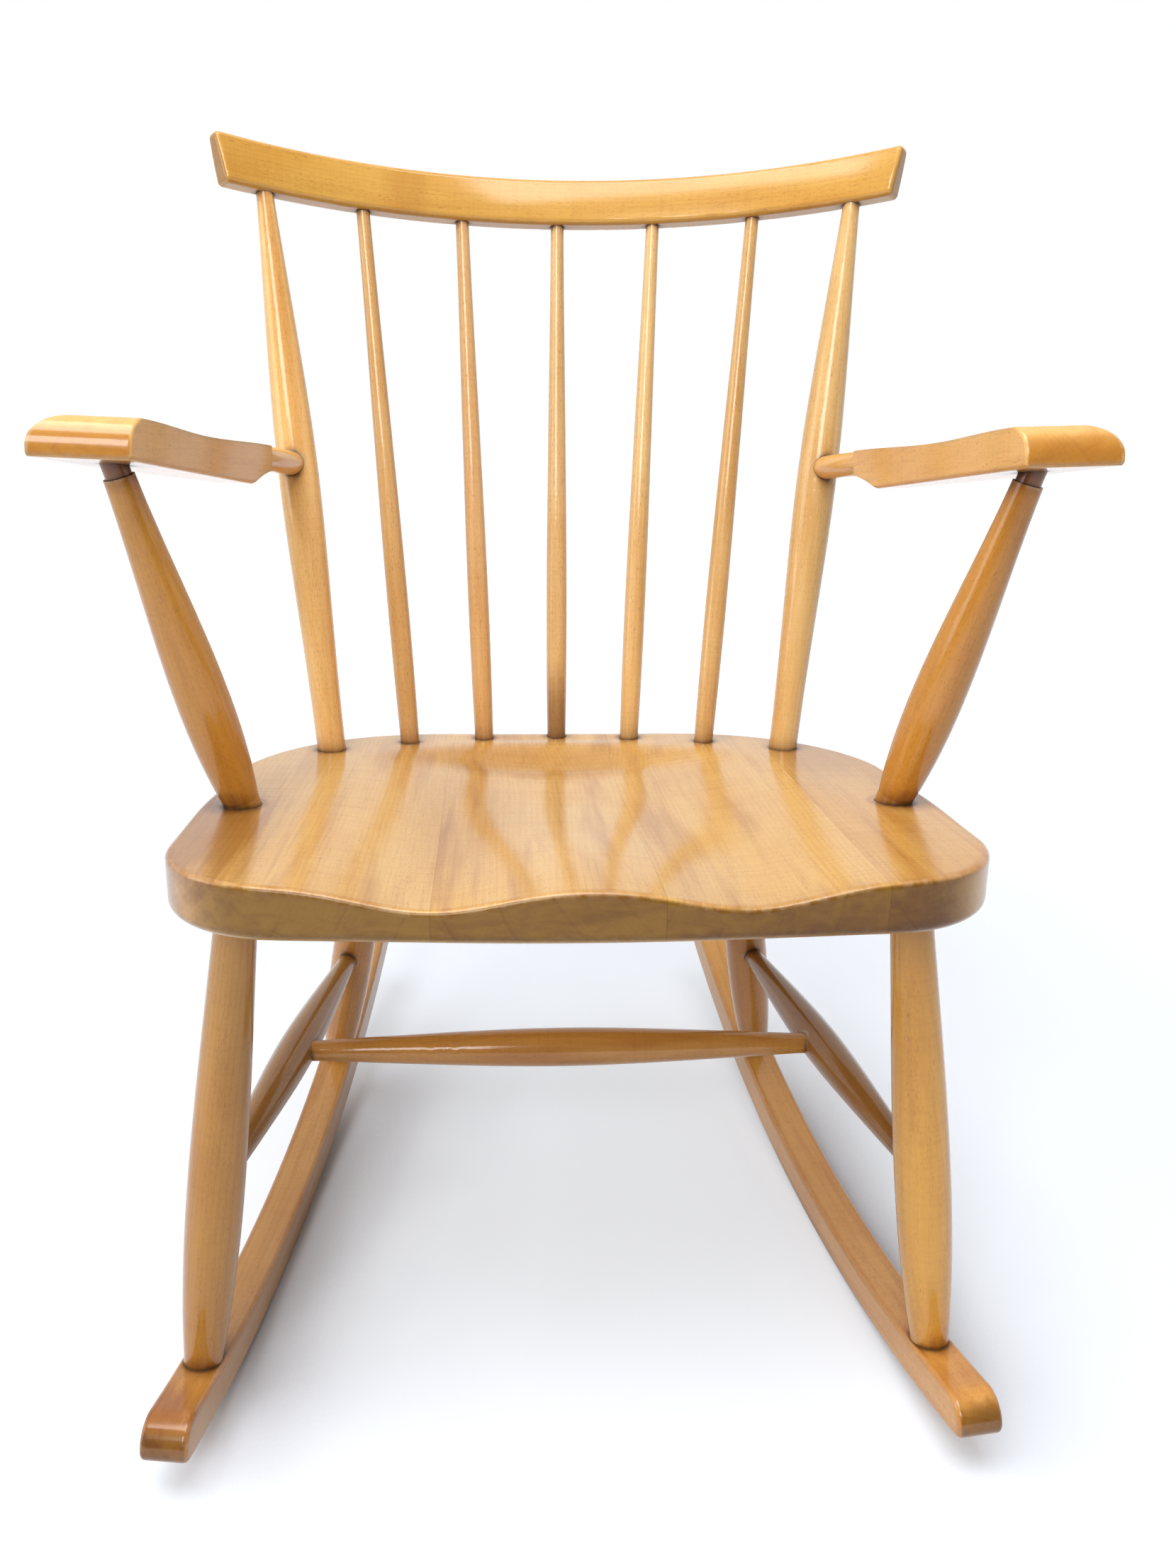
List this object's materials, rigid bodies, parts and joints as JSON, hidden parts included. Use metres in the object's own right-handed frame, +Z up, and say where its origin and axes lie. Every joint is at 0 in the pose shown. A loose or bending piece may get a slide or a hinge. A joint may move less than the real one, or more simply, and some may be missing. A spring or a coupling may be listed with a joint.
{
  "type": "rocking chair",
  "caption": "Wooden rocking armchair with a carved saddle seat, plain spindles under a bowed crest rail, sloping arms, turned legs and curved runners.",
  "frame": {"origin": "on the floor, at the middle of the chair's bounding box", "axes": "+Z up, the sitter faces -Y, +X on the right of someone who looks at the chair from the front"},
  "size_m": [0.6238, 0.6593, 0.8595],
  "materials": {
    "seat": "satin clear varnish over pale beech",
    "crest": "satin clear varnish over pale beech",
    "sticks": "satin clear varnish over pale beech",
    "arms": "satin clear varnish over pale beech",
    "supports": "satin clear varnish over pale beech",
    "legs": "satin clear varnish over pale beech",
    "stretchers": "satin clear varnish over pale beech",
    "rockers": "satin clear varnish over pale beech"
  },
  "bodies": {
    "root": {"seat_board_1": "seat", "seat_board_2": "seat", "seat_board_3": "seat", "seat_board_4": "seat", "crest_rail": "crest", "spindle_1": "sticks", "spindle_2": "sticks", "spindle_3": "sticks", "spindle_4": "sticks", "spindle_5": "sticks", "back_post_left": "sticks", "back_post_right": "sticks", "arm_left": "arms", "arm_right": "arms", "arm_support_left": "supports", "arm_support_right": "supports", "front_leg_left": "legs", "front_leg_right": "legs", "rear_leg_left": "legs", "rear_leg_right": "legs", "side_stretcher_left": "stretchers", "side_stretcher_right": "stretchers", "cross_stretcher": "stretchers", "rocker_left": "rockers", "rocker_right": "rockers"}
  },
  "joints": []
}
